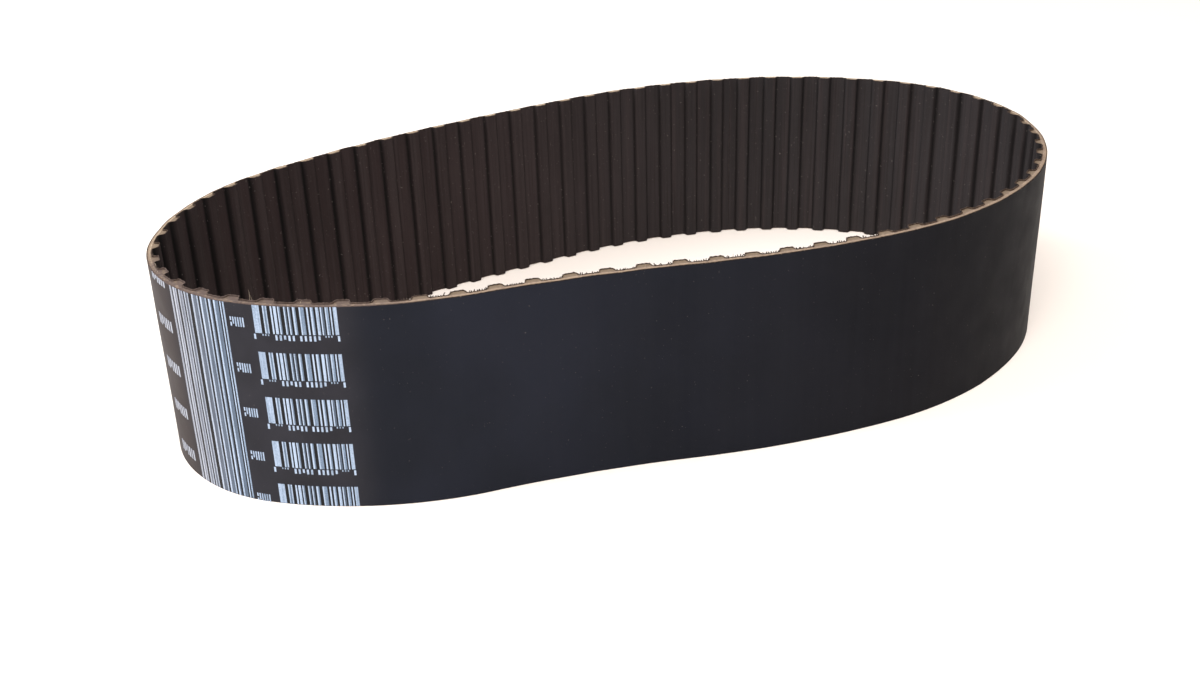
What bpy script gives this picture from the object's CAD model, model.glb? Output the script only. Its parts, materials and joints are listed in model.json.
"""The looks of an endless timing belt that stands on one cut edge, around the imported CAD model.

The belt bends along its whole length, so every layer is built in lengths that run from the middle
of one CAD span to the middle of the next, and each length bends between those two spans.
A place on the belt is (s, level, z) in millimetres: s runs along the pitch line, level across the
thickness from the pitch line towards the inside of the loop, and z up across the width.
"""

import json
import math

import bpy
import numpy as np
from mathutils import Matrix, Vector


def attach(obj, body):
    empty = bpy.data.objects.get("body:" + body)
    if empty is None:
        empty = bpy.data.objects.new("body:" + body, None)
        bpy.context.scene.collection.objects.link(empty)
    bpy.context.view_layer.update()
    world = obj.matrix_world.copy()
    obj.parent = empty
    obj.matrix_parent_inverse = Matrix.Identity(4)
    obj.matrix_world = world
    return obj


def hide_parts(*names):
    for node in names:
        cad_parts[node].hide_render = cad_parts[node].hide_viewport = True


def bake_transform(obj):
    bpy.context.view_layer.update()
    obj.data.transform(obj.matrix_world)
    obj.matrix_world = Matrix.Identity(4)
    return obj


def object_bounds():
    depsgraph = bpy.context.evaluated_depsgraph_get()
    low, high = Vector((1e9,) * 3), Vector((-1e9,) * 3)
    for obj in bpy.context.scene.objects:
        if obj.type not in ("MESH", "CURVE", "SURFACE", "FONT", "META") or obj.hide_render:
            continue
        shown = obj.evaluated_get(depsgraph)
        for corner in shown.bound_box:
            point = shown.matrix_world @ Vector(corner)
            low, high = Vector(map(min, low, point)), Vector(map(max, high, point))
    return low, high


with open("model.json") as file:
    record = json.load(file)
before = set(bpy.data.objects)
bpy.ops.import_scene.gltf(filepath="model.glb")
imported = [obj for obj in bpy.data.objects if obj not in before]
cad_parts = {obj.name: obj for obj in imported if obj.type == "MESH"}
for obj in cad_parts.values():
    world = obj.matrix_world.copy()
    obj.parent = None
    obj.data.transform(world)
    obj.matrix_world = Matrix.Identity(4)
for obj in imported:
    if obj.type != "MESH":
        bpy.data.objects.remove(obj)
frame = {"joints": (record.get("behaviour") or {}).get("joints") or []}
cad_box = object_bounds()

# ---------- Sizes of the belt, millimetres and degrees ----------

MM = 0.001
TOOTH_PITCH = 12.7
TEETH_PER_SPAN = 6
SPAN = TOOTH_PITCH * TEETH_PER_SPAN
WIDTH = (cad_box[1].z - cad_box[0].z) / MM
THICKNESS = 4.3
TOOTH_HEIGHT = 2.29
TOOTH_ROOT = 6.12
HALF_FLANK = math.radians(20)
CORNER = 1.02  # radius at a tooth's root and tip
GAP_LEVEL = 0.686  # surface of the gaps between the teeth
FACING = 0.25  # thickness of the woven facing
BACK_LEVEL = GAP_LEVEL + TOOTH_HEIGHT - THICKNESS
CORD_LEVEL = GAP_LEVEL - FACING  # the cord layer goes from minus this level to this level
BACK_DEPTH = -CORD_LEVEL - BACK_LEVEL
FOOT_X = TOOTH_ROOT / 2 + CORNER / math.cos(HALF_FLANK) - CORNER * math.tan(HALF_FLANK)

# Turn of each span, as in the CAD. Three of them take up what the loop needs to close.
TURNS = [72.5, 34, -9.5, 14, 32, 42.5, 57.5, 30.5, 22.5, 5, 11.5, 47.5]
CLOSING = (2, 6, 10)
START_HEADING = -110.5
SPANS = len(TURNS)
LOOP = SPANS * SPAN

# Spans are counted from 0 here. The joint flex_03_04 turns at the start of the span DRIVER.
DRIVER = 3
OPEN_HINGE = 8  # no joint holds the start of this span
OPEN_GAP = 0.03  # left free on each side of that line, so that its two sides never rub

# The cut edges are uneven. That fades out over EDGE_ZONE, and the foot has less of it than the top.
EDGE_ZONE = 2.5
TOP_DROP = 0.1
FOOT_RISE = 0.16
FOOT_SHARE = 0.5

# Where the printed marks lie: s along the first two spans, z up the belt
BAND = (43, 68.5)
BARS = (SPAN + 2.4, SPAN + 30.4)
BARS_HEIGHT = 10
CODES = (70, 75.4)
DASHES = (28, 40.5)
ROW_TOPS = [8, 25, 42, 59, 76]
INK = 0.05  # how far the ink stands out from the back

# The view: turned from the row's +Y towards +X
VIEW_AZIMUTH = math.radians(22.995)


# ---------- The pitch line ----------


def arc_chain(turns):
    """Ends of the chain of arcs from the origin, with the heading and the radius of each arc."""
    headings = np.radians(START_HEADING + np.concatenate([[0], np.cumsum(turns)]))
    radii = SPAN / np.radians(turns)
    across = np.sin(headings[1:]) - np.sin(headings[:-1])
    along = np.cos(headings[:-1]) - np.cos(headings[1:])
    ends = np.cumsum(radii[:, None] * np.stack([across, along], 1), 0)
    return np.vstack([[0, 0], ends]), headings[:-1], radii


def with_change(change):
    """The turns after a change to the first two closing spans; the third brings the sum to 360."""
    turns = np.array(TURNS, float)
    turns[CLOSING[0]] += change[0]
    turns[CLOSING[1]] += change[1]
    turns[CLOSING[2]] += 360 - turns.sum()
    return turns


def closed_turns():
    """The turns with which the chain ends where it starts, by Newton's method as in the CAD."""
    change, probe = np.zeros(2), 0.01
    for _ in range(6):
        gap = arc_chain(with_change(change))[0][-1]
        tilt = [
            (arc_chain(with_change(change + probe * unit))[0][-1] - gap) / probe
            for unit in np.eye(2)
        ]
        change -= np.linalg.solve(np.array(tilt).T, gap)
    return with_change(change)


ENDS, HEADINGS, RADII = arc_chain(closed_turns())
driver_joint = next(j for j in frame["joints"] if j["name"] == "flex_03_04")
HINGES = ENDS[:-1] + np.array(driver_joint["pos_m"][:2]) / MM - ENDS[DRIVER]
CENTRES = HINGES + RADII[:, None] * np.stack([-np.sin(HEADINGS), np.cos(HEADINGS)], 1)


def span_at(s):
    """Index of the span at s, and the distance from its start."""
    s = np.asarray(s, float) % LOOP
    i = np.minimum(s // SPAN, SPANS - 1).astype(int)
    return i, s - i * SPAN


def place(s, level, z):
    """Points in the row frame, in metres, at (s, level, z)."""
    s, level, z = np.broadcast_arrays(*(np.asarray(v, float) for v in (s, level, z)))
    i, along = span_at(s)
    heading = HEADINGS[i] + along / RADII[i]
    reach = RADII[i] - level
    x = CENTRES[i, 0] + reach * np.sin(heading)
    y = CENTRES[i, 1] - reach * np.cos(heading)
    return np.stack([x, y, z], -1) * MM


# ---------- Unevenness that repeats after one turn of the loop ----------


def ripple(seed, size, s_length, z_length, waves=12):
    """A gentle random height of about size, with waves of about those lengths along s and z."""
    rng = np.random.default_rng(seed)
    along = 2 * np.pi * np.rint(LOOP / (s_length * rng.uniform(0.6, 1.7, waves))) / LOOP
    up = 2 * np.pi / (z_length * rng.uniform(0.6, 1.7, waves)) * rng.choice([-1, 1], waves)
    phase = rng.uniform(0, 2 * np.pi, waves)

    def height(s, z):
        s, z = np.asarray(s, float)[..., None], np.asarray(z, float)[..., None]
        return size * np.cos(along * s + up * z + phase).sum(-1) / math.sqrt(waves / 2)

    return height


def jagged(seed, step):
    """A random number from 0 to 1 for each step along s, the same after a turn of the loop."""
    count = int(round(LOOP / step))
    values = np.random.default_rng(seed).random(count)
    return lambda s: values[(np.asarray(s, float) / LOOP * count).astype(int) % count]


back_waves = ripple(1, 0.035, 45, 60)
back_grain = ripple(2, 0.008, 9, 14)
knife_waves = ripple(3, 0.05, 22, 900)
knife_marks = ripple(4, 0.018, 1.6, 900)
cut_grain = ripple(5, 0.02, 0.9, 0.5)
tooth_waves = ripple(6, 0.02, 7, 30)
facing_nap = ripple(7, 0.006, 1.5, 3)
facing_frays = jagged(8, 0.42)


def back_face(s, z):
    """How far the back stands out from its nominal level."""
    return back_waves(s, z) + back_grain(s, z)


def cut_height(s, level):
    """How far the top cut edge lies above its nominal height."""
    return knife_waves(s, 0) + knife_marks(s, 0.4 * level) + cut_grain(s, level) - TOP_DROP


# ---------- Closed skins in the form of a layer ----------

SHARP_ANGLE = math.radians(42)


class Ring:
    """A closed ring round a layer's section. t is the share of the way from its low side (towards
    the back) to its high side, z the height, and group says which face starts at each point."""

    LOW, CUT, HIGH = 0, 1, 2
    NEAR_EDGE = (0.25, 0.9, 2.2)  # distances from a cut edge at which a side has extra rows

    def __init__(self, thickness, low_rows=2, high_rows=2, cut_steps=1, rounding=0):
        self.t, self.z, self.group = [], [], []
        self._side(0, self._heights(low_rows, rounding))
        self._corner(True, rounding, thickness)
        self._cut(rounding / thickness, 1, cut_steps, WIDTH)
        self._side(1, self._heights(high_rows, 0)[::-1])
        self._cut(1, rounding / thickness, cut_steps, 0)
        self._corner(False, rounding, thickness)
        self.t, self.z = np.array(self.t), np.array(self.z)

    def _heights(self, rows, rounding):
        near = self.NEAR_EDGE if rows > 2 else ()
        low = [rounding + d for d in (0, *near)]
        high = [WIDTH - h for h in low[::-1]]
        return low + list(np.linspace(low[-1], high[0], rows)[1:-1]) + high

    def _side(self, t, heights):
        self.t += [t] * len(heights)
        self.z += heights
        self.group += [self.HIGH if t else self.LOW] * (len(heights) - 1) + [self.CUT]

    def _corner(self, at_top, rounding, thickness):
        """Points inside a rounded corner of the low side, on the way round the ring."""
        if not rounding:
            return
        angles = np.radians([30, 60] if at_top else [60, 30])
        drop = rounding * (1 - np.sin(angles))
        self.t += list(rounding / thickness * (1 - np.cos(angles)))
        self.z += list(WIDTH - drop if at_top else drop)
        self.group += [self.CUT] * len(angles)

    def _cut(self, t_from, t_to, steps, z):
        """Points across a cut edge; where a corner is sharp, the side already has the end point."""
        t = list(np.linspace(t_from, t_to, steps + 1))
        t = t[1:] if t_from in (0, 1) else t
        t = t[:-1] if t_to in (0, 1) else t
        self.t += t
        self.z += [z] * len(t)
        self.group += [self.CUT] * len(t)


def ring_length(ring, thickness):
    """Distance round the ring to each point and back to the first, for the texture's v."""
    t, z = np.append(ring.t, ring.t[0]) * thickness, np.append(ring.z, ring.z[0])
    return np.concatenate([[0], np.cumsum(np.hypot(np.diff(t), np.diff(z)))])


def new_object(name, points, faces, materials, face_material, uvs=None):
    """A mesh object from points in metres, with its rest places kept as an attribute."""
    mesh = bpy.data.meshes.new(name)
    mesh.from_pydata([tuple(p) for p in points], [], faces)
    for material in materials:
        mesh.materials.append(material)
    mesh.polygons.foreach_set("material_index", np.asarray(face_material, np.int32))
    mesh.shade_smooth()
    mesh.set_sharp_from_angle(angle=SHARP_ANGLE)
    if uvs is not None:
        layer = mesh.uv_layers.new(name="belt")
        layer.uv.foreach_set("vector", np.asarray(uvs, np.float32).ravel())
    rest = mesh.attributes.new("rest", "FLOAT_VECTOR", "POINT")
    rest.data.foreach_set("vector", np.asarray(points, np.float32).ravel())
    mesh.update()
    obj = bpy.data.objects.new(name, mesh)
    bpy.context.scene.collection.objects.link(obj)
    return obj


def keep(obj, name, values):
    """Keeps one number for each point, for the materials to use."""
    layer = obj.data.attributes.new(name, "FLOAT", "POINT")
    layer.data.foreach_set("value", np.asarray(values, np.float32).ravel())


def ring_faces(columns, ring_size, first):
    """Faces of an open tube over columns of rings, and the column and ring place of each corner."""
    c, m = np.meshgrid(np.arange(columns - 1), np.arange(ring_size), indexing="ij")
    c, m = c.ravel(), m.ravel()
    corners = np.stack([[c, c + 1, c + 1, c], [m, m, m + 1, m + 1]]).transpose(0, 2, 1)
    index = first + corners[0] * ring_size + corners[1] % ring_size
    return index, corners


def closed_tube(first, u, v):
    """Faces of a tube with closed ends, and their texture places. Its points are numbered from first,
    column by column. u is each column's place, and v the distance round the ring and back."""
    size = len(v) - 1
    index, corners = ring_faces(len(u), size, first)
    faces = index.tolist()
    uvs = [np.stack([u[corners[0]], v[corners[1]]], -1).reshape(-1, 2)]
    for column, turned in ((0, 1), (len(u) - 1, -1)):
        faces.append((first + column * size + np.arange(size))[::turned].tolist())
        uvs.append(np.stack([np.full(size, u[column]), v[:-1][::turned]], -1))
    return faces, np.concatenate(uvs)


def with_cut_edges(s, level, z, cut):
    """The heights z with the unevenness that cut(s, level) gives the two cut edges."""
    edge = cut(s, level)
    near_top = np.clip((z - WIDTH + EDGE_ZONE) / EDGE_ZONE, 0, 1)
    near_foot = np.clip((EDGE_ZONE - z) / EDGE_ZONE, 0, 1)
    return z + near_top * edge + near_foot * (FOOT_RISE + edge * FOOT_SHARE)


def skin(name, low, high, ring, thickness, materials, low_out=None, high_out=None, cut=cut_height,
         u=None, breaks=()):
    """A closed layer over columns. low and high are the (s, level) of each column's two sides, moved
    out by low_out and high_out. materials are for the low side, the cut edges and the high side.
    breaks are the columns at which a new solid starts."""
    low, high = np.asarray(low, float), np.asarray(high, float)
    t, z = ring.t[None, :], np.broadcast_to(ring.z[None, :], (len(low), len(ring.z)))
    s = low[:, :1] * (1 - t) + high[:, :1] * t
    level = low[:, 1:] * (1 - t) + high[:, 1:] * t
    if low_out is not None:
        level = level - (1 - t) * low_out(s, z)
    if high_out is not None:
        level = level + t * high_out(s, z)
    points = place(s, level, with_cut_edges(s, level, z, cut)).reshape(-1, 3)
    u = low[:, 0] if u is None else u
    v = ring_length(ring, thickness)
    faces, groups, uvs = [], [], []
    for start, end in zip([0, *breaks], [*breaks, len(low)]):
        tube, tube_uvs = closed_tube(start * len(ring.t), u[start:end], v)
        faces += tube
        groups += ring.group * (end - start - 1) + [Ring.CUT] * 2
        uvs.append(tube_uvs)
    obj = new_object(name, points, faces, materials, groups, np.concatenate(uvs) * MM)
    keep(obj, "depth", (level - BACK_LEVEL) / THICKNESS)
    keep(obj, "along", s * MM)
    return obj


# ---------- Materials ----------


def linear(code):
    """A hex colour as linear RGBA."""
    parts = [int(code[k:k + 2], 16) / 255 for k in (1, 3, 5)]
    return [p / 12.92 if p <= 0.04045 else ((p + 0.055) / 1.055) ** 2.4 for p in parts] + [1]


class Paint:
    """A node material with one Principled shader, and short calls for its procedural patterns."""

    def __init__(self, name, roughness, specular):
        self.material = bpy.data.materials.new(name)
        self.material.use_nodes = True
        self.tree = self.material.node_tree
        self.shader = self.tree.nodes["Principled BSDF"]
        self.set(self.shader, {"Roughness": roughness, "Specular IOR Level": specular})
        self.relief = None

    def set(self, node, values):
        """Links each socket among the values, and sets each constant."""
        for key, value in values.items():
            if isinstance(value, bpy.types.NodeSocket):
                self.tree.links.new(value, node.inputs[key])
            else:
                node.inputs[key].default_value = value

    def node(self, kind, output, values=None, **settings):
        """One output of a new node, whose inputs take the values."""
        node = self.tree.nodes.new("ShaderNode" + kind)
        for key, value in settings.items():
            setattr(node, key, value)
        self.set(node, values or {})
        return node.outputs[output]

    def attribute(self, name, output="Fac"):
        return self.node("Attribute", output, attribute_name=name)

    def rest(self, stretch=(1, 1, 1)):
        """The place at rest, squeezed per axis: a small z factor gives upright streaks."""
        values = {"Vector": self.attribute("rest", "Vector"), "Scale": stretch}
        return self.node("Mapping", "Vector", values)

    def uv(self, scale):
        """Distances along and across the belt in metres, times scale."""
        values = {"Vector": self.node("UVMap", "UV", uv_map="belt"), "Scale": scale}
        return self.node("Mapping", "Vector", values)

    def noise(self, scale, detail=3, vector=None):
        values = {"Vector": vector or self.rest(), "Scale": scale, "Detail": detail}
        return self.node("TexNoise", "Fac", values)

    def math(self, operation, a, b=0.0):
        return self.node("Math", 0, {0: a, 1: b}, operation=operation)

    def window(self, value, start, end):
        """Rises from 0 to 1 as value goes from start to end."""
        values = {"Value": value, "From Min": start, "From Max": end}
        return self.node("MapRange", "Result", values, interpolation_type="SMOOTHSTEP")

    def plateau(self, value, rise_start, rise_end, fall_start, fall_end):
        """Rises from 0 to 1, stays there, and falls back to 0 as value goes up."""
        risen = self.window(value, rise_start, rise_end)
        return self.math("SUBTRACT", risen, self.window(value, fall_start, fall_end))

    def mix(self, share, a, b):
        """The colour a, or b where share is 1. Inputs 6 and 7 and output 2 are the node's colours."""
        return self.node("Mix", 2, {0: share, 6: a, 7: b}, data_type="RGBA")

    def stain(self, base, where, strength, code):
        """The colour base, stained with a hex colour: by strength where the pattern where is 1."""
        return self.mix(self.math("MULTIPLY", where, strength), base, linear(code))

    def ramp(self, value, stops):
        """Colours from (position, hex colour) stops."""
        node = self.tree.nodes.new("ShaderNodeValToRGB")
        while len(node.color_ramp.elements) < len(stops):
            node.color_ramp.elements.new(0.5)
        for element, (position, code) in zip(node.color_ramp.elements, stops):
            element.position, element.color = position, linear(code)
        self.set(node, {"Fac": value})
        return node.outputs["Color"]

    def colour(self, socket):
        self.set(self.shader, {"Base Color": socket})

    def rough(self, value, low, high):
        """Roughness from low to high as value goes from 0 to 1."""
        between = self.node("MapRange", "Result", {"Value": value, "To Min": low, "To Max": high})
        self.set(self.shader, {"Roughness": between})

    def bump(self, height, size):
        """Adds relief: size is in metres for a height from 0 to 1."""
        values = {"Strength": 1.0, "Distance": size, "Height": height}
        if self.relief is not None:
            values["Normal"] = self.relief
        self.relief = self.node("Bump", "Normal", values)
        self.set(self.shader, {"Normal": self.relief})


# Stretches of the belt in metres along s: where a tone starts and is full, then wanes and ends
FAR_RUN = (0.13, 0.36, 0.62, 0.8)
GREY_RUN = (0.03, 0.15, 0.58, 0.8)
SOILED = (0.005, 0.03, 0.1, 0.15)
GROUND_RUN = (-0.014, 0.006, 0.1035, 0.1185)

# Near the tight bend the print and its ground are warmer: where that ends and where it is full
GROUND_BEND = (0.052, 0.034)
INK_BEND = (0.068, 0.045)

# Ink from its bare dark carrier, at tone 0, to full white, at tone 1
INK_TONES = [(0.0, "#0c0d12"), (0.35, "#3f4957"), (0.65, "#687a90"), (1.0, "#a5b6ce")]
BEND_TONES = [(0.0, "#0f0d10"), (0.35, "#474a53"), (0.65, "#6d717d"), (1.0, "#a3a8b4")]

# Cut edges from the back's surface, at depth 0, to the tooth tip, at depth 1
CUT_STOPS = [(0.0, "#120c0a"), (0.07, "#261b17"), (0.11, "#7a6757"), (0.16, "#8f7c69"),
             (0.3, "#7d6c5e"), (1.0, "#6b5950")]
TOOTH_STOPS = [(0.4, "#776757"), (0.7, "#706152"), (1.0, "#665748")]
FACING_STOPS = [(0.4, "#48392f"), (1.0, "#392d26")]


def back_rubber():
    """Ground neoprene: near black, bluish, with faint streaks and light specks. It is greyer under
    the print, and darker and browner round the far end of the loop."""
    paint = Paint("back_rubber", 0.62, 0.07)
    along = paint.attribute("along")
    near = paint.ramp(paint.noise(22, 4), [(0.35, "#161921"), (0.65, "#1c1f29")])
    far = paint.ramp(paint.noise(26, 4), [(0.35, "#08080b"), (0.65, "#0e0d10")])
    base = paint.mix(paint.plateau(along, *FAR_RUN), near, far)
    streaks = paint.noise(300, 3, paint.rest((1, 1, 0.03)))
    base = paint.stain(base, streaks, 0.3, "#212228")
    ground = paint.ramp(paint.noise(60, 4), [(0.3, "#25252a"), (0.7, "#2c2c32")])
    ground = paint.stain(ground, paint.window(along, *GROUND_BEND), 0.8, "#383130")
    base = paint.mix(paint.plateau(along, *GROUND_RUN), base, ground)
    specks = paint.window(paint.noise(1500, 2), 0.735, 0.78)
    paint.colour(paint.stain(base, specks, 0.5, "#6f6a66"))
    paint.rough(paint.noise(90, 4), 0.5, 0.72)
    paint.bump(paint.noise(2600, 3), 0.00001)
    paint.bump(paint.noise(900, 2, paint.rest((1, 1, 0.05))), 0.000008)
    return paint.material


def cut_edge(name, stops, knife=0.00003):
    """Rubber cut with a knife: dusty tan, mottled, with slanting knife marks. stops give its colours
    from the back to the tooth tip."""
    paint = Paint(name, 0.9, 0.15)
    wander = paint.math("MULTIPLY", paint.math("SUBTRACT", paint.noise(700, 3), 0.5), 0.09)
    base = paint.ramp(paint.math("ADD", paint.attribute("depth"), wander), stops)
    mottle = paint.window(paint.noise(1300, 4), 0.52, 0.72)
    base = paint.stain(base, mottle, 0.45, "#45362e")
    dust = paint.window(paint.noise(2300, 3), 0.58, 0.72)
    base = paint.stain(base, dust, 0.4, "#ab9c8c")
    paint.colour(soiled(paint, base))
    paint.bump(paint.noise(1500, 4), 0.00005)
    paint.bump(paint.noise(1400, 2, paint.uv((1, 0.12, 1))), knife)
    return paint.material


def soiled(paint, base):
    """The cut edge beside the print is greyer from handling, in blotches."""
    blotches = paint.window(paint.noise(650, 4), 0.2, 0.6)
    share = paint.math("MULTIPLY", paint.plateau(paint.attribute("along"), *SOILED), blotches)
    return paint.mix(share, base, linear("#574a45"))


def cord_edge():
    """The cut cords: cream glass strands where the knife has opened one, tan rubber beside it."""
    paint = Paint("cord_cut", 0.75, 0.25)
    strand = paint.noise(1800, 2, paint.uv((0.25, 1, 1)))
    cream = paint.ramp(strand, [(0.3, "#8d765e"), (0.65, "#b8a994")])
    tan = paint.ramp(paint.noise(1200, 4), [(0.35, "#75645a"), (0.65, "#96826f")])
    paint.colour(soiled(paint, paint.mix(paint.attribute("opened"), tan, cream)))
    paint.bump(paint.noise(2200, 3), 0.00004)
    paint.bump(strand, 0.00003)
    return paint.material


def woven_facing():
    """Nylon cloth soaked with rubber: brown-black, greyer on one half of the loop, with faint upright
    streaks, blacker where it was drawn into the hollow beside a tooth."""
    paint = Paint("woven_facing", 0.85, 0.12)
    grey = paint.ramp(paint.noise(16, 4), [(0.35, "#242223"), (0.65, "#2c292a")])
    brown = paint.ramp(paint.noise(18, 4), [(0.35, "#241b1b"), (0.65, "#2c2222")])
    base = paint.mix(paint.plateau(paint.attribute("along"), *GREY_RUN), brown, grey)
    for scale, strength, code in ((420, 0.55, "#372f2f"), (1300, 0.5, "#191414")):
        streaks = paint.window(paint.noise(scale, 3, paint.rest((1, 1, 0.02))), 0.42, 0.75)
        base = paint.stain(base, streaks, strength, code)
    weave = threads(paint)
    base = paint.stain(base, weave, 0.35, "#3d3434")
    tooth_tips = paint.window(paint.attribute("depth"), 0.6, 1.0)
    base = paint.stain(base, tooth_tips, 0.15, "#171313")
    base = paint.mix(paint.attribute("hollow"), base, linear("#0b0909"))
    specks = paint.window(paint.noise(1100, 2), 0.7, 0.75)
    paint.colour(paint.stain(base, specks, 0.6, "#6a625e"))
    paint.rough(paint.noise(150, 3), 0.74, 0.9)
    paint.bump(weave, 0.00005)
    paint.bump(paint.noise(3000, 3), 0.00002)
    return paint.material


def threads(paint, pitch=0.00055):
    """Height of a plain weave: two crossing sets of round threads that take turns on top."""
    split = paint.tree.nodes.new("ShaderNodeSeparateXYZ")
    paint.set(split, {0: paint.uv((1 / pitch, 1 / pitch, 1))})
    waves = [paint.math("SINE", paint.math("MULTIPLY", split.outputs[k], math.pi)) for k in (0, 1)]
    return paint.math("ABSOLUTE", paint.math("MULTIPLY", *waves))


def thread_paint(name, dark, light, roughness=0.7):
    """Loose fibres, each a little lighter or darker than the next."""
    paint = Paint(name, roughness, 0.2)
    paint.colour(paint.ramp(paint.noise(260, 2), [(0.35, dark), (0.65, light)]))
    paint.bump(paint.noise(5000, 2), 0.00002)
    return paint.material


def print_ink():
    """Transfer ink: its dark carrier where the tone is 0, full white where it is 1, streaked and
    rubbed."""
    paint = Paint("print_ink", 0.6, 0.2)
    streaks = paint.math("SUBTRACT", paint.noise(1100, 2, paint.rest((1, 1, 0.05))), 0.5)
    mottle = paint.math("SUBTRACT", paint.noise(2600, 3), 0.5)
    uneven = paint.math("ADD", 1.0, paint.math("MULTIPLY", paint.math("ADD", streaks, mottle), 0.6))
    tone = paint.math("MULTIPLY", paint.attribute("tone"), uneven)
    at_bend = paint.window(paint.attribute("along"), *INK_BEND)
    base = paint.mix(at_bend, paint.ramp(tone, INK_TONES), paint.ramp(tone, BEND_TONES))
    worn = paint.window(paint.noise(1500, 4), 0.62, 0.72)
    paint.colour(paint.stain(base, worn, 0.4, "#3c4047"))
    paint.bump(paint.noise(2500, 3), 0.000015)
    return paint.material


BACK = back_rubber()
CUT = cut_edge("back_cut", CUT_STOPS)
CORD = cord_edge()
TOOTH = cut_edge("tooth_cut", TOOTH_STOPS)
WOVEN = woven_facing()
FRAYED = cut_edge("facing_cut", FACING_STOPS, 0.00002)
FIBRE = thread_paint("nylon_fibre", "#15100e", "#41362f")
GLASS = thread_paint("glass_fibre", "#93816e", "#c4b7a4", 0.5)
PRINT = print_ink()


# ---------- Lengths of the belt between two spans' middles ----------


class Zone:
    """The belt from one span's middle to the next, round a hinge line. At the open hinge line it is
    two half zones, each on its own span."""

    def __init__(self, start, end, *spans):
        self.start, self.end = start, end
        self.numbers = [f"{i % SPANS + 1:02d}" for i in spans]
        self.bodies = [f"span_{number}" for number in self.numbers]
        self.label = "_".join(self.numbers)

    def attach(self, obj, slot, *layers):
        """Binds a piece to the zone's bodies, in the place of the CAD nodes of these layers."""
        if len(self.bodies) == 1:
            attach(obj, self.bodies[0])
        else:
            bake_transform(obj)
        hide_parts(*(f"{layer}_{n}" for layer in layers for n in self.numbers))

    def columns(self, step):
        """Places along s from end to end, about step apart."""
        return np.linspace(self.start, self.end, int(round((self.end - self.start) / step)) + 1)

    def teeth(self):
        """Numbers of the whole teeth in the zone."""
        return range(round(self.start / TOOTH_PITCH), round(self.end / TOOTH_PITCH))


def zones():
    """The whole belt, one zone after the other."""
    made = []
    for hinge in range(SPANS):
        start, middle, end = (SPAN * (hinge + share) for share in (-0.5, 0, 0.5))
        if hinge == OPEN_HINGE:
            made.append(Zone(start, middle - OPEN_GAP, hinge - 1))
            made.append(Zone(middle + OPEN_GAP, end, hinge))
        else:
            made.append(Zone(start, end, hinge - 1, hinge))
    return made


# ---------- The back and the cords ----------

BACK_STEP = 0.85  # between two columns along s
CORD_STEP = 0.4
CORE_DEPTH = 2
BACK_RING = Ring(BACK_DEPTH, low_rows=26, cut_steps=5, rounding=0.16)
CORD_RING = Ring(2 * CORD_LEVEL, cut_steps=14)
TOOTH_RING = Ring(CORE_DEPTH, cut_steps=6)
FACING_RING = Ring(FACING, high_rows=22)


def at_level(s, level):
    """Columns at every s, all at one level."""
    return np.stack([s, np.full_like(s, level)], 1)


def build_back(zone):
    s = zone.columns(BACK_STEP)
    obj = skin(f"back_{zone.label}", at_level(s, BACK_LEVEL), at_level(s, -CORD_LEVEL), BACK_RING,
               BACK_DEPTH, [BACK, CUT, BACK], low_out=back_face)
    zone.attach(obj, "back_rubber", "back_rubber")


# The cord is wound in a slow screw, so it drifts through the cut edge once in a turn of the loop.
CORD_RADIUS = 0.4
CORD_WINDING = 1.4  # how far it climbs in one turn
CORD_LAY = 3.4  # length of one twist of its strands
CORD_SHOWN_AT = 0.75  # where along the loop the cut goes through its middle
CORD_EDGE = 0.07
STRAND_RISE = (0.04, 0.09)  # everywhere on an opened cord, and more on top of a strand


def cord_opened(s, level):
    """How far the knife has opened the cord at a place on the cut edge, from 0 to 1."""
    below = CORD_WINDING * ((s / LOOP - CORD_SHOWN_AT + 0.5) % 1 - 0.5)
    half = np.sqrt(np.maximum(CORD_RADIUS**2 - below**2, 0))
    return np.clip((half - np.abs(level)) / CORD_EDGE, 0, 1)


def cord_height(s, level):
    """The cut edge of the cord layer, where the twisted strands spring up out of an opened cord."""
    twist = np.abs(np.sin(np.pi * (s / CORD_LAY + level / (2 * CORD_RADIUS)) * 3))
    return cut_height(s, level) + cord_opened(s, level) * (STRAND_RISE[0] + STRAND_RISE[1] * twist)


def build_cords(zone):
    s = zone.columns(CORD_STEP)
    obj = skin(f"cords_{zone.label}", at_level(s, -CORD_LEVEL), at_level(s, CORD_LEVEL), CORD_RING,
               2 * CORD_LEVEL, [CORD] * 3, cut=cord_height)
    level = np.tile(2 * CORD_LEVEL * CORD_RING.t - CORD_LEVEL, len(s))
    keep(obj, "opened", cord_opened(np.repeat(s, len(CORD_RING.t)), level))
    zone.attach(obj, "tension_cord", "tension_cords")


# ---------- Teeth and facing ----------


def tooth_outline(depth, corner_steps=6, tip_steps=5):
    """Outline of a tooth at a depth under its surface. A point is (distance from the tooth's middle,
    height above the gap)."""
    root_r, tip_r = CORNER + depth, CORNER - depth
    tip_y = TOOTH_HEIGHT - depth - tip_r
    tip_x = TOOTH_ROOT / 2 - (tip_r + depth) / math.cos(HALF_FLANK) - tip_y * math.tan(HALF_FLANK)
    angles = np.linspace(math.pi / 2, HALF_FLANK, corner_steps + 1)
    tip = np.stack([tip_x + tip_r * np.cos(angles), tip_y + tip_r * np.sin(angles)], 1)
    angles = angles[::-1] + math.pi
    root = np.stack([FOOT_X + root_r * np.cos(angles), root_r - depth + root_r * np.sin(angles)], 1)
    flat = at_level(np.linspace(0, tip_x, tip_steps)[:-1], tip_y + tip_r)
    right = np.concatenate([flat, tip, root])
    left = right[:0:-1] * [-1, 1]
    return np.concatenate([left, right])


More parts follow.
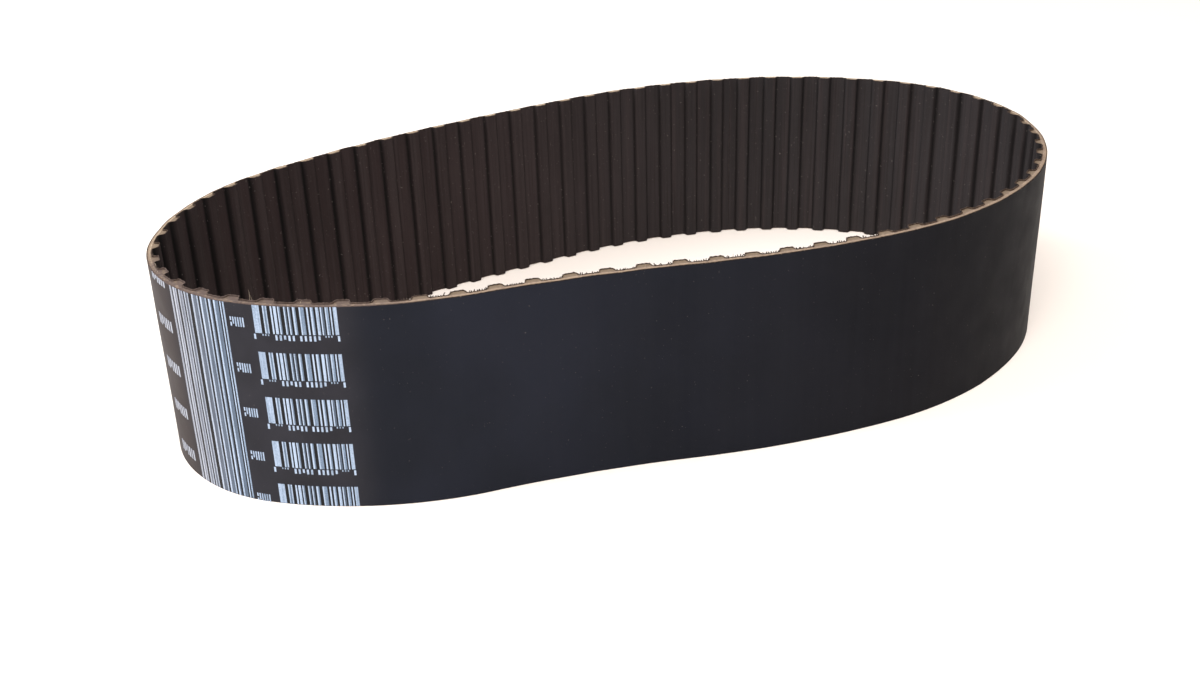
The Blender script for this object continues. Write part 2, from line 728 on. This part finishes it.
def beside_tooth(tooth, outline):
    """(s, level) of an outline's points; they keep their distance from the tooth's middle."""
    middle = (tooth + 0.5) * TOOTH_PITCH
    radius = RADII[span_at(middle)[0]]
    level = GAP_LEVEL + outline[:, 1]
    return np.stack([middle + outline[:, 0] * radius / (radius - level), level], 1)


def pitch_outline(tooth, depth, gap_steps=5):
    """One tooth with half a gap on each side, as (s, level) columns."""
    points = beside_tooth(tooth, tooth_outline(depth))
    start, end = tooth * TOOTH_PITCH, (tooth + 1) * TOOTH_PITCH
    before = np.linspace([start, GAP_LEVEL - depth], points[0], gap_steps + 1)[:-1]
    after = np.linspace(points[-1], [end, GAP_LEVEL - depth], gap_steps + 1)[1:]
    return np.concatenate([before, points, after])


CORE_EDGE = 0.03  # least thickness of a core, at its feet
CORE_CROWN = 0.1  # how much higher a core's cut edge is at its tip


def core_height(s, level):
    """The cut edge of a core, slightly higher at its tip than at its root."""
    crown = np.clip((level - CORD_LEVEL) / TOOTH_HEIGHT, 0, 1)
    return cut_height(s, level) + CORE_CROWN * (crown - 0.5)


def build_teeth(zone):
    """The rubber cores. Both feet of a core taper to an edge, which is kept a little open."""
    low, high, breaks = [], [], []
    outline = tooth_outline(FACING)
    outline[:, 1] = np.maximum(outline[:, 1], CORE_EDGE - FACING)
    for tooth in zone.teeth():
        breaks.append(len(high))
        top = beside_tooth(tooth, outline)
        high += list(top)
        low += list(at_level(top[:, 0], CORD_LEVEL))
    obj = skin(f"teeth_{zone.label}", low, high, TOOTH_RING, CORE_DEPTH, [TOOTH] * 3,
               cut=core_height, breaks=breaks[1:])
    zone.attach(obj, "tooth_rubber", "tooth_rubber")


# How far the facing's edge stands up where it doesn't fray, and how much more where it frays fully
LIP_ON_TOOTH = (0.18, 0.3)
LIP_IN_GAP = (0.0, 0.42)
FACING_RISE = 0.05
THREAD_RISE = 0.2  # of the highest thread's end over the lowest

# Heights above the gap at which a tooth starts to count as one, and counts in full
TOOTH_STARTS = 0.3
TOOTH_COUNTS = 1.1

# Places along s, and the share from 0 to 1 that holds there: little fraying on the front run, and
# hollows pressed together at the tight end
FRAYED_RUN = [0, 105, 130, 290, 330, LOOP], [1, 1, 0.15, 0.15, 1, 1]
TIGHT_END = [0, 60, 700, 830], [1, 0, 0, 1]


def facing_height(s, level):
    """The frayed edge of the facing, one step for each thread. It springs up as a lip over the
    teeth."""
    fray = np.interp(np.asarray(s) % LOOP, *FRAYED_RUN)
    on_tooth, in_gap = (still + more * fray for still, more in (LIP_ON_TOOTH, LIP_IN_GAP))
    over_tooth = np.interp(level - GAP_LEVEL, (TOOTH_STARTS, TOOTH_COUNTS), (0, 1))
    lip = in_gap + (on_tooth - in_gap) * over_tooth
    return cut_height(s, level) + FACING_RISE + lip + THREAD_RISE * facing_frays(s)


def hollow(columns):
    """How black each facing column is: most on the low half of a flank, and at the tight end of the
    loop, where the hollows are pressed together."""
    steps = np.gradient(columns, axis=0)
    slope = np.abs(steps[:, 1]) / np.hypot(*steps.T)
    height = (columns[:, 1] - GAP_LEVEL) / TOOTH_HEIGHT
    tight = np.interp(columns[:, 0] % LOOP, *TIGHT_END)
    lowness = np.clip(1.25 - (1.6 - 0.6 * tight) * height, 0, 0.65 + 0.3 * tight)
    return np.clip(slope * 1.4, 0, 1) * lowness


def facing_face(s, z):
    """How far the facing stands out from its nominal surface."""
    return tooth_waves(s, z) + facing_nap(s, z)


def developed(columns):
    """Distance along the facing's own surface from the first column."""
    return np.concatenate([[0], np.cumsum(np.hypot(*np.diff(columns, axis=0).T))])


# Length of facing for each length of belt
CLOTH_SHARE = developed(pitch_outline(0, 0))[-1] / TOOTH_PITCH


def facing_columns(zone, depth):
    """Columns of the facing at a depth under its surface. Two teeth share the column between them."""
    teeth = zone.teeth()
    columns = np.concatenate([pitch_outline(k, depth)[(k > teeth[0]):] for k in teeth])
    columns[:, 0] = np.clip(columns[:, 0], zone.start, zone.end)
    return columns


def build_facing(zone):
    low, high = facing_columns(zone, FACING), facing_columns(zone, 0)
    u = zone.start * CLOTH_SHARE + developed(high)
    obj = skin(f"facing_{zone.label}", low, high, FACING_RING, FACING, [FRAYED, FRAYED, WOVEN],
               high_out=facing_face, cut=facing_height, u=u)
    keep(obj, "hollow", np.repeat(hollow(high), len(FACING_RING.t)))
    zone.attach(obj, "woven_facing", "tooth_facing")


# ---------- Fibres ----------

TUBE_SIDES = 4
FIBRE_SEED = 100

# The fringe: threads FRINGE_PITCH apart, each moved by up to FRINGE_SHIFT, and none near a zone's end.
# Keys say whether a thread is in a gap: what share of the threads shows, and between which lengths
FRINGE_PITCH = 0.85
FRINGE_SHIFT = 0.12
FRINGE_CLEAR = 0.5
FRINGE_SHARE = {True: 0.92, False: 0.6}
FRINGE_LENGTH = {True: (0.45, 0.8), False: (0.25, 0.5)}

# Single threads: (s, lean along s, length) of the two long ones in front, and the rest at random
CROSSING = [(76.9, 0.3, 4.2), (78.2, -0.35, 2.6)]
STRAY_LENGTH = (1.2, 2.6)
STRAY_RADIUS = 0.045
LOOSE_LENGTH = (0.7, 1.7)
HAIR_TRIES = 70  # hairs for each zone, if the cord is open all along it
HAIR_LENGTH = (0.15, 0.55)


def tubes(name, paths, radii, material, tip=0.35):
    """One mesh of thin closed tubes that taper to tip times their radius. Paths are in metres."""
    points, faces = [], []
    angles = 2 * np.pi * np.arange(TUBE_SIDES)[None, :, None] / TUBE_SIDES
    for path, radius in zip(paths, radii):
        first = len(points)
        along = np.gradient(path, axis=0)
        along /= np.linalg.norm(along, axis=1)[:, None]
        side = np.cross(along, [0.31, 0.92, 0.23])  # any direction that no fibre runs in
        side /= np.linalg.norm(side, axis=1)[:, None]
        other = np.cross(along, side)
        taper = radius * np.linspace(1, tip, len(path))[:, None, None]
        round_path = np.cos(angles) * side[:, None, :] + np.sin(angles) * other[:, None, :]
        points += list((path[:, None, :] + taper * round_path).reshape(-1, 3))
        index, _ = ring_faces(len(path), TUBE_SIDES, first)
        faces += index[:, ::-1].tolist()
        faces.append(list(range(first, first + TUBE_SIDES))[::-1])
        faces.append(list(range(len(points) - TUBE_SIDES, len(points))))
    return new_object(name, np.array(points), faces, [material], np.zeros(len(faces)))


def fibre(rng, s, level, z, length, lean, curl, steps=4, up=1):
    """A fibre from a place on the cut edge. It rises by up for each unit of its length, leans by
    lean (along s, towards the inside) and curls."""
    share = np.linspace(0, 1, steps + 1)
    bend = rng.normal(0, curl, 2)
    along = s + length * (lean[0] * share + bend[0] * share**2)
    inward = level + length * (lean[1] * share + bend[1] * share**2)
    return place(along, inward, z + up * length * share)


def fringe_paths(zone, rng):
    """Ends of the facing's threads: most of them in the gaps, above the top edge and folded in at
    the foot."""
    columns = np.concatenate([pitch_outline(k, FACING / 2) for k in zone.teeth()])
    reach = developed(columns)
    paths, radii = [], []
    for at in np.arange(0.3, reach[-1], FRINGE_PITCH):
        at += rng.uniform(-FRINGE_SHIFT, FRINGE_SHIFT)
        s, level = (np.interp(at, reach, columns[:, k]) for k in (0, 1))
        in_gap = bool(level < GAP_LEVEL + TOOTH_STARTS)
        at_end = min(s - zone.start, zone.end - s) < FRINGE_CLEAR
        if at_end or rng.random() > FRINGE_SHARE[in_gap]:
            continue
        length = rng.uniform(*FRINGE_LENGTH[in_gap])
        lean = rng.normal(0, 0.2), abs(rng.normal(0.12, 0.2))
        top = WIDTH + cut_height(s, level) - 0.05
        paths.append(fibre(rng, s, level, top, length, lean, 0.3))
        radii.append((rng.uniform(0.19, 0.26) if in_gap else 0.12) * MM)
        foot_lean = rng.normal(0, 0.2), rng.uniform(0.3, 0.8)
        paths.append(fibre(rng, s, level, 0.3, length * 0.8, foot_lean, 0.1, up=-0.15))
        radii.append(rng.uniform(0.07, 0.11) * MM)
    return paths, radii


def loose_paths(zone, rng):
    """Up to two threads that have come out of the facing's edge and curl above it."""
    paths, radii = [], []
    for _ in range(rng.integers(0, 3)):
        tooth = rng.choice(list(zone.teeth()))
        s = (tooth + rng.uniform(-0.2, 0.2)) * TOOTH_PITCH
        s = min(max(s, zone.start + 3), zone.end - 3)
        lean = rng.normal(0, 0.5), rng.uniform(0, 0.5)
        length = rng.uniform(*LOOSE_LENGTH)
        paths.append(fibre(rng, s, GAP_LEVEL - 0.1, WIDTH - 0.1, length, lean, 0.5, 7))
        radii.append(rng.uniform(0.05, 0.08) * MM)
    return paths, radii


def stray_paths(zone, rng):
    """The two long crossing threads in front, and a shorter pale one here and there."""
    found = [thread for thread in CROSSING if zone.start < thread[0] < zone.end]
    if rng.random() < 0.5:
        s = rng.uniform(zone.start + 5, zone.end - 5)
        found.append((s, rng.normal(0, 0.4), rng.uniform(*STRAY_LENGTH)))
    paths = [fibre(rng, s, GAP_LEVEL, WIDTH, length, (lean, 0.1), 0.12, 7)
             for s, lean, length in found]
    return paths, [STRAY_RADIUS * MM] * len(paths)


def hair_paths(zone, rng):
    """Short glass hairs that stand out of the opened cord."""
    paths, radii = [], []
    for s in zone.start + (zone.end - zone.start) * rng.random(HAIR_TRIES):
        level = rng.normal(0, 0.15)
        if cord_opened(s, level) < 0.5:
            continue
        lean = rng.normal(0, 0.9), rng.normal(0, 0.5)
        paths.append(fibre(rng, s, level, WIDTH, rng.uniform(*HAIR_LENGTH), lean, 0.5))
        radii.append(rng.uniform(0.03, 0.055) * MM)
    return paths, radii


def build_fibres(zone, seed):
    """Dark fibres of the facing, and pale ones of the cords where a zone has any."""
    rng = np.random.default_rng(seed)
    paths, radii = fringe_paths(zone, rng)
    more, more_radii = loose_paths(zone, rng)
    obj = tubes(f"fringe_{zone.label}", paths + more, radii + more_radii, FIBRE, tip=0.75)
    zone.attach(obj, "woven_facing")
    paths, radii = hair_paths(zone, rng)
    more, more_radii = stray_paths(zone, rng)
    if paths + more:
        obj = tubes(f"hairs_{zone.label}", paths + more, radii + more_radii, GLASS)
        zone.attach(obj, "tension_cord")


# ---------- Printed marks ----------

FILM_STEP = 0.8  # along s, between two columns of a film
FILM_ROW = 2.5  # up z, between two points of a column
CARRIER = 0.4 * INK  # thickness of the dark film under a patch
FILM_SINK = 0.02  # how deep a film's inner side lies in the back

# A film that ends within AT_EDGE of a cut edge stops short of it by so much
AT_EDGE = 0.1
SHORT_OF_TOP = 0.05
SHORT_OF_FOOT = 0.25

PRINT_SEED = 21
MARGIN_TONE = 0.85
BAND_TONE = 0.93
DASH_LIMITS = (0.3, WIDTH - 0.2)  # the lowest and the highest place of a dash


def film_grid(s_from, s_to, z_from, z_to, tone):
    """Columns of a film, its ring of heights, and its points: up the outer side, down the inner."""
    s = np.linspace(s_from, s_to, max(2, int((s_to - s_from) / FILM_STEP) + 2))
    heights = np.linspace(z_from, z_to, max(2, int((z_to - z_from) / FILM_ROW) + 1))
    z = np.concatenate([heights, heights[::-1]])
    rise = np.repeat([INK if tone else CARRIER, -FILM_SINK], len(heights))
    level = BACK_LEVEL - back_face(s[:, None], z[None, :]) - rise
    top = np.where(z > WIDTH - AT_EDGE, cut_height(s[:, None], BACK_LEVEL) - SHORT_OF_TOP, 0)
    foot = np.where(z < AT_EDGE, SHORT_OF_FOOT, 0)
    return s, z, place(s[:, None], level, z + top + foot).reshape(-1, 3)


def films(name, marks, zone, *nodes):
    """One mesh of thin printed films. A mark is (s from, s to, z from, z to, tone). Tone 0 is the
    dark carrier, which lies lower than the ink."""
    points, faces, uvs, tones, places = [], [], [], [], []
    for mark in marks:
        s, z, grid = film_grid(*mark)
        film, film_uvs = closed_tube(len(points), s, np.append(z, z[0]))
        points += list(grid)
        faces += film
        uvs.append(film_uvs)
        tones += [mark[-1]] * len(grid)
        places += list(np.repeat(s, len(z)) * MM)
    uvs = np.concatenate(uvs) * MM
    obj = new_object(name, np.array(points), faces, [PRINT], np.zeros(len(faces)), uvs)
    keep(obj, "tone", tones)
    keep(obj, "along", places)
    zone.attach(obj, "print_ink")
    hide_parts(*nodes)


def stripes(rng, start, end, units, margin):
    """Strips from start to end as (s from, s to, tone): a pale one at each end, and a random run of
    white and grey ones between bare lines. Their widths are in units that go from units[0] to
    units[1]. They hold no code."""
    made = [(start, start + margin, MARGIN_TONE)]
    at = start + margin
    last = end - 0.5 * margin - units[1]
    while at < last - units[1]:
        unit = np.interp(at, (start, end), units)
        at += unit * rng.choice([0.9, 1.3, 2.1])
        grey = rng.uniform(0.4, 0.7)
        for tone, widths in ((1.0, [0.7, 1.0]), (grey, [0, 0.8, 1.2, 2.2]), (0.9, [0, 0, 0.7])):
            width = min(unit * rng.choice(widths), last - at)
            if width > 0:
                made.append((at, at + width, tone))
                at += width
    made.append((end - 0.5 * margin, end, MARGIN_TONE))
    return made


def patch(strips, bottom, top):
    """A printed patch: its dark carrier, then its strips."""
    whole = (strips[0][0], strips[-1][1], bottom, top, 0)
    return [whole] + [(a, b, bottom, top, tone) for a, b, tone in strips]


def in_rows(marks, tops):
    """The same marks again for each row; their heights are counted from the top of a row's patch."""
    return [(a, b, top + low, top + high, tone) for top in tops for a, b, low, high, tone in marks]


def tick_row(rng):
    """Plain ticks under a patch: one beyond each end, two groups of five, and short ones beside."""
    under = -BARS_HEIGHT
    start, end = BARS
    first_group = start + 6.8 + 1.45 * np.arange(5)
    second_group = start + 15.1 + 1.5 * np.arange(5)
    tall = [start - 0.6, *first_group, *second_group, end - 0.6]
    short = [*(start + 2.4 + 0.95 * np.arange(3)), *(end - 4.6 + 0.95 * np.arange(3))]
    made = [mark for s in tall
            for mark in strokes(rng, s, s + 1.2, pitch=1.3, top=under - 0.4, height=1.9)]
    return made + [(s, s + 0.4, under - 0.9, under - 0.25, 0.8) for s in short]


def strokes(rng, start, end, pitch, top, height):
    """A row of plain upright strokes of different heights; some are split into dots."""
    made = []
    width = 0.54 * pitch
    for s in np.arange(start, end - 0.5 * pitch, pitch):
        tone = rng.uniform(0.82, 1)
        if rng.random() < 0.12:
            made.append((s, s + width, top - 0.4 * height, top, tone))
            made.append((s, s + width, top - height, top - 0.6 * height, tone))
        else:
            made.append((s, s + width, top - height * rng.choice([0.75, 1, 1]), top, tone))
    return made


def build_prints(before, zone):
    """All marks lie in the zone round the second hinge line, but for half of the dashes."""
    rng = np.random.default_rng(PRINT_SEED)
    band = stripes(rng, *BAND, units=(0.9, 0.56), margin=1.2)
    band = [(a, b, BAND_TONE * tone) for a, b, tone in band]
    films("ink_band", patch(band, 0, WIDTH), zone, "print_stripe_band")
    strips = stripes(rng, *BARS, units=(0.56, 0.56), margin=2.4)
    bars = [mark for top in ROW_TOPS for mark in patch(strips, max(top - BARS_HEIGHT, 0), top)]
    films("ink_bars", bars, zone, "print_bar_rows")
    films("ink_ticks", in_rows(tick_row(rng), ROW_TOPS[1:]), zone, "print_tick_rows")
    codes = in_rows(strokes(rng, *CODES, pitch=0.9, top=-5.0, height=3.4), ROW_TOPS)
    films("ink_strokes", codes, zone, "print_label_strokes")
    dashes = in_rows(strokes(rng, *DASHES, pitch=1.75, top=1.9, height=4.2), ROW_TOPS)
    lowest, highest = DASH_LIMITS
    dashes = [(a, b, max(low, lowest), min(high, highest), tone)
              for a, b, low, high, tone in dashes if low < WIDTH - 1]
    films("ink_dashes_left", [m for m in dashes if m[1] <= zone.start], before, "print_dashes")
    films("ink_dashes_right", [m for m in dashes if m[0] >= zone.start], zone, "print_dashes")


# ---------- Floor, lights and camera ----------

FLOOR_HALF = 6.0  # metres


def build_floor():
    """A plain pale floor, warm enough to show it where the belt shades it."""
    paint = Paint("pale_floor", 0.6, 0.1)
    paint.colour(paint.ramp(paint.noise(3), [(0.3, "#f6ede5"), (0.7, "#f9f1ea")]))
    corners = [(x * FLOOR_HALF, y * FLOOR_HALF, 0) for x, y in ((-1, -1), (1, -1), (1, 1), (-1, 1))]
    floor = new_object("floor", corners, [(0, 1, 2, 3)], [paint.material], [0])


def area_light(name, location, size, power, colour):
    """A soft box that faces the origin. location and size are in metres, power in watts."""
    light = bpy.data.lights.new(name, "AREA")
    light.shape, light.size, light.size_y = "RECTANGLE", *size
    light.energy, light.color = power, colour
    obj = bpy.data.objects.new(name, light)
    obj.location = location
    obj.rotation_euler = (-location).to_track_quat("-Z", "Y").to_euler()
    bpy.context.scene.collection.objects.link(obj)


def build_lights():
    """A pale room, a large warm soft box high behind the camera, a cooler one on the left, a weak one
    on the right."""
    world = bpy.data.worlds.new("studio")
    world.use_nodes = True
    background = world.node_tree.nodes["Background"]
    background.inputs["Color"].default_value = (1.0, 0.99, 0.98, 1)
    background.inputs["Strength"].default_value = 0.52
    bpy.context.scene.world = world
    right = Vector((math.cos(VIEW_AZIMUTH), -math.sin(VIEW_AZIMUTH), 0))
    near = Vector((-math.sin(VIEW_AZIMUTH), -math.cos(VIEW_AZIMUTH), 0))
    up = Vector((0, 0, 1))
    area_light("key_box", near + 1.5 * up, (1.4, 1.0), 37, (1.0, 0.96, 0.93))
    area_light("left_box", -1.1 * right + 0.75 * up, (0.9, 0.9), 19, (0.93, 0.97, 1.0))
    area_light("right_box", 1.1 * right + 0.75 * up, (0.9, 0.9), 2, (1.0, 0.95, 0.9))


def build_camera():
    """The camera looks at a point on the floor near the middle of the loop."""
    target = Vector((-0.00626, 0.0119, 0))
    distance = 0.6087
    elevation, roll = math.radians(26.494), math.radians(-1.749)
    level = Vector((math.sin(VIEW_AZIMUTH), math.cos(VIEW_AZIMUTH), 0))
    forward = math.cos(elevation) * level - math.sin(elevation) * Vector((0, 0, 1))
    turn = forward.to_track_quat("-Z", "Y").to_matrix() @ Matrix.Rotation(roll, 3, "Z")
    camera = bpy.data.cameras.new("camera")
    camera.lens, camera.sensor_width = 43.246, 36
    camera.clip_start = 0.01
    obj = bpy.data.objects.new("camera", camera)
    obj.matrix_world = Matrix.Translation(target - distance * forward) @ turn.to_4x4()
    bpy.context.scene.collection.objects.link(obj)
    bpy.context.scene.camera = obj


# ---------- The scene ----------

bpy.context.scene.view_settings.view_transform = "Standard"
build_camera()
build_lights()
build_floor()
belt = zones()
for number, zone in enumerate(belt):
    build_back(zone)
    build_cords(zone)
    build_teeth(zone)
    build_facing(zone)
    build_fibres(zone, FIBRE_SEED + number)
build_prints(belt[0], belt[1])
